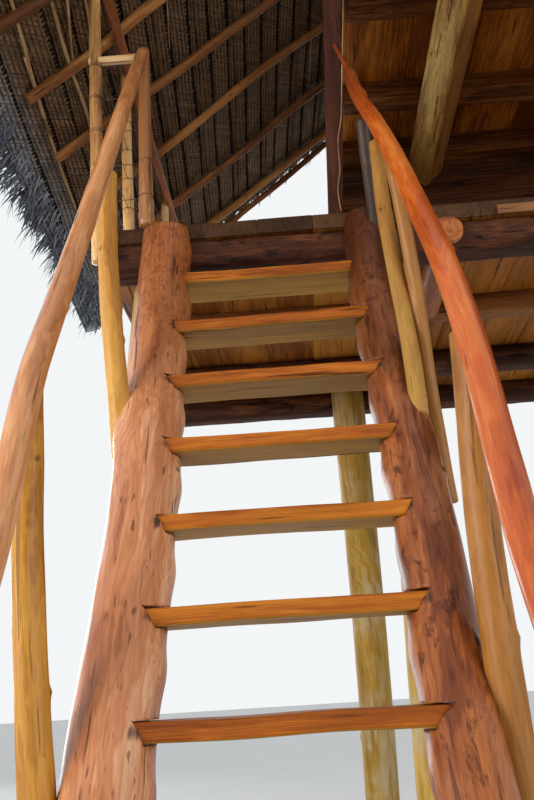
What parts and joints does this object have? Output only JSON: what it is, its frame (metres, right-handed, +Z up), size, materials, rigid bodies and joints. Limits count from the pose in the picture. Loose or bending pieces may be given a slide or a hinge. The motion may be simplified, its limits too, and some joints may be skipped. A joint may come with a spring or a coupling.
{
  "type": "stilt house with a log stair",
  "caption": "Open timber house on log stilts, with a steep log stair, bent pole handrails, a board loft and a palm-leaf roof.",
  "frame": {"origin": "on the ground, at the centre of the outline", "axes": "+X to the right of a person who faces the stair, +Y from the foot of the stair towards the house, +Z up"},
  "size_m": [5.9216, 4.555, 6.3921],
  "materials": {
    "stair_log_orange": "varnished peeled log",
    "stair_log_brown": "varnished peeled log with dark streaks",
    "tread_plank": "varnished plank",
    "rail_pole": "varnished peeled pole",
    "rail_pole_bright": "varnished peeled pole",
    "yellow_pole": "varnished peeled pole",
    "dark_log": "hewn log with bark on its sides",
    "sawn_joist": "sawn timber",
    "round_log": "peeled log",
    "deck_plank": "varnished plank",
    "pale_slat": "sawn slat",
    "pale_log": "peeled weathered log",
    "guard_pole": "varnished peeled pole",
    "guard_wire": "weathered wire",
    "red_post": "dark red stained board",
    "pale_girder": "hewn log",
    "dark_joist": "hewn timber",
    "loft_plank": "varnished plank",
    "wall_board": "dark stained board",
    "rafter_pole": "peeled pole",
    "split_lath": "split lath",
    "palm_leaf": "dry woven palm leaf"
  },
  "bodies": {
    "root": {"stringer_left": "stair_log_orange", "stringer_right": "stair_log_brown", "tread_01": "tread_plank", "tread_02": "tread_plank", "tread_03": "tread_plank", "tread_04": "tread_plank", "tread_05": "tread_plank", "tread_06": "tread_plank", "tread_07": "tread_plank", "tread_08": "tread_plank", "tread_09": "tread_plank", "tread_10": "tread_plank", "handrail_left": "rail_pole", "handrail_right": "rail_pole_bright", "rail_posts_left": "yellow_pole", "rail_posts_right": "yellow_pole", "rim_beam": "dark_log", "rear_beams": "dark_log", "deck_joist": "sawn_joist", "deck_girders": "round_log", "deck_boards": "deck_plank", "front_slat": "pale_slat", "stilts_left": "pale_log", "stilts_right": "pale_log", "guard_poles_left": "guard_pole", "guard_wires_left": "guard_wire", "guard_poles_right": "guard_pole", "guard_wires_right": "guard_wire", "loft_posts_front": "red_post", "loft_posts_rear": "round_log", "loft_cross_beams": "dark_log", "loft_girders": "pale_girder", "loft_joists": "dark_joist", "loft_boards": "loft_plank", "rear_wall": "wall_board", "wall_plates": "round_log", "ridge_posts": "round_log", "ridge_pole": "round_log", "rafters_left": "rafter_pole", "rafters_right": "rafter_pole", "laths_left": "split_lath", "laths_right": "split_lath", "thatch_left": "palm_leaf", "thatch_right": "palm_leaf", "ridge_cap": "palm_leaf"}
  },
  "joints": []
}
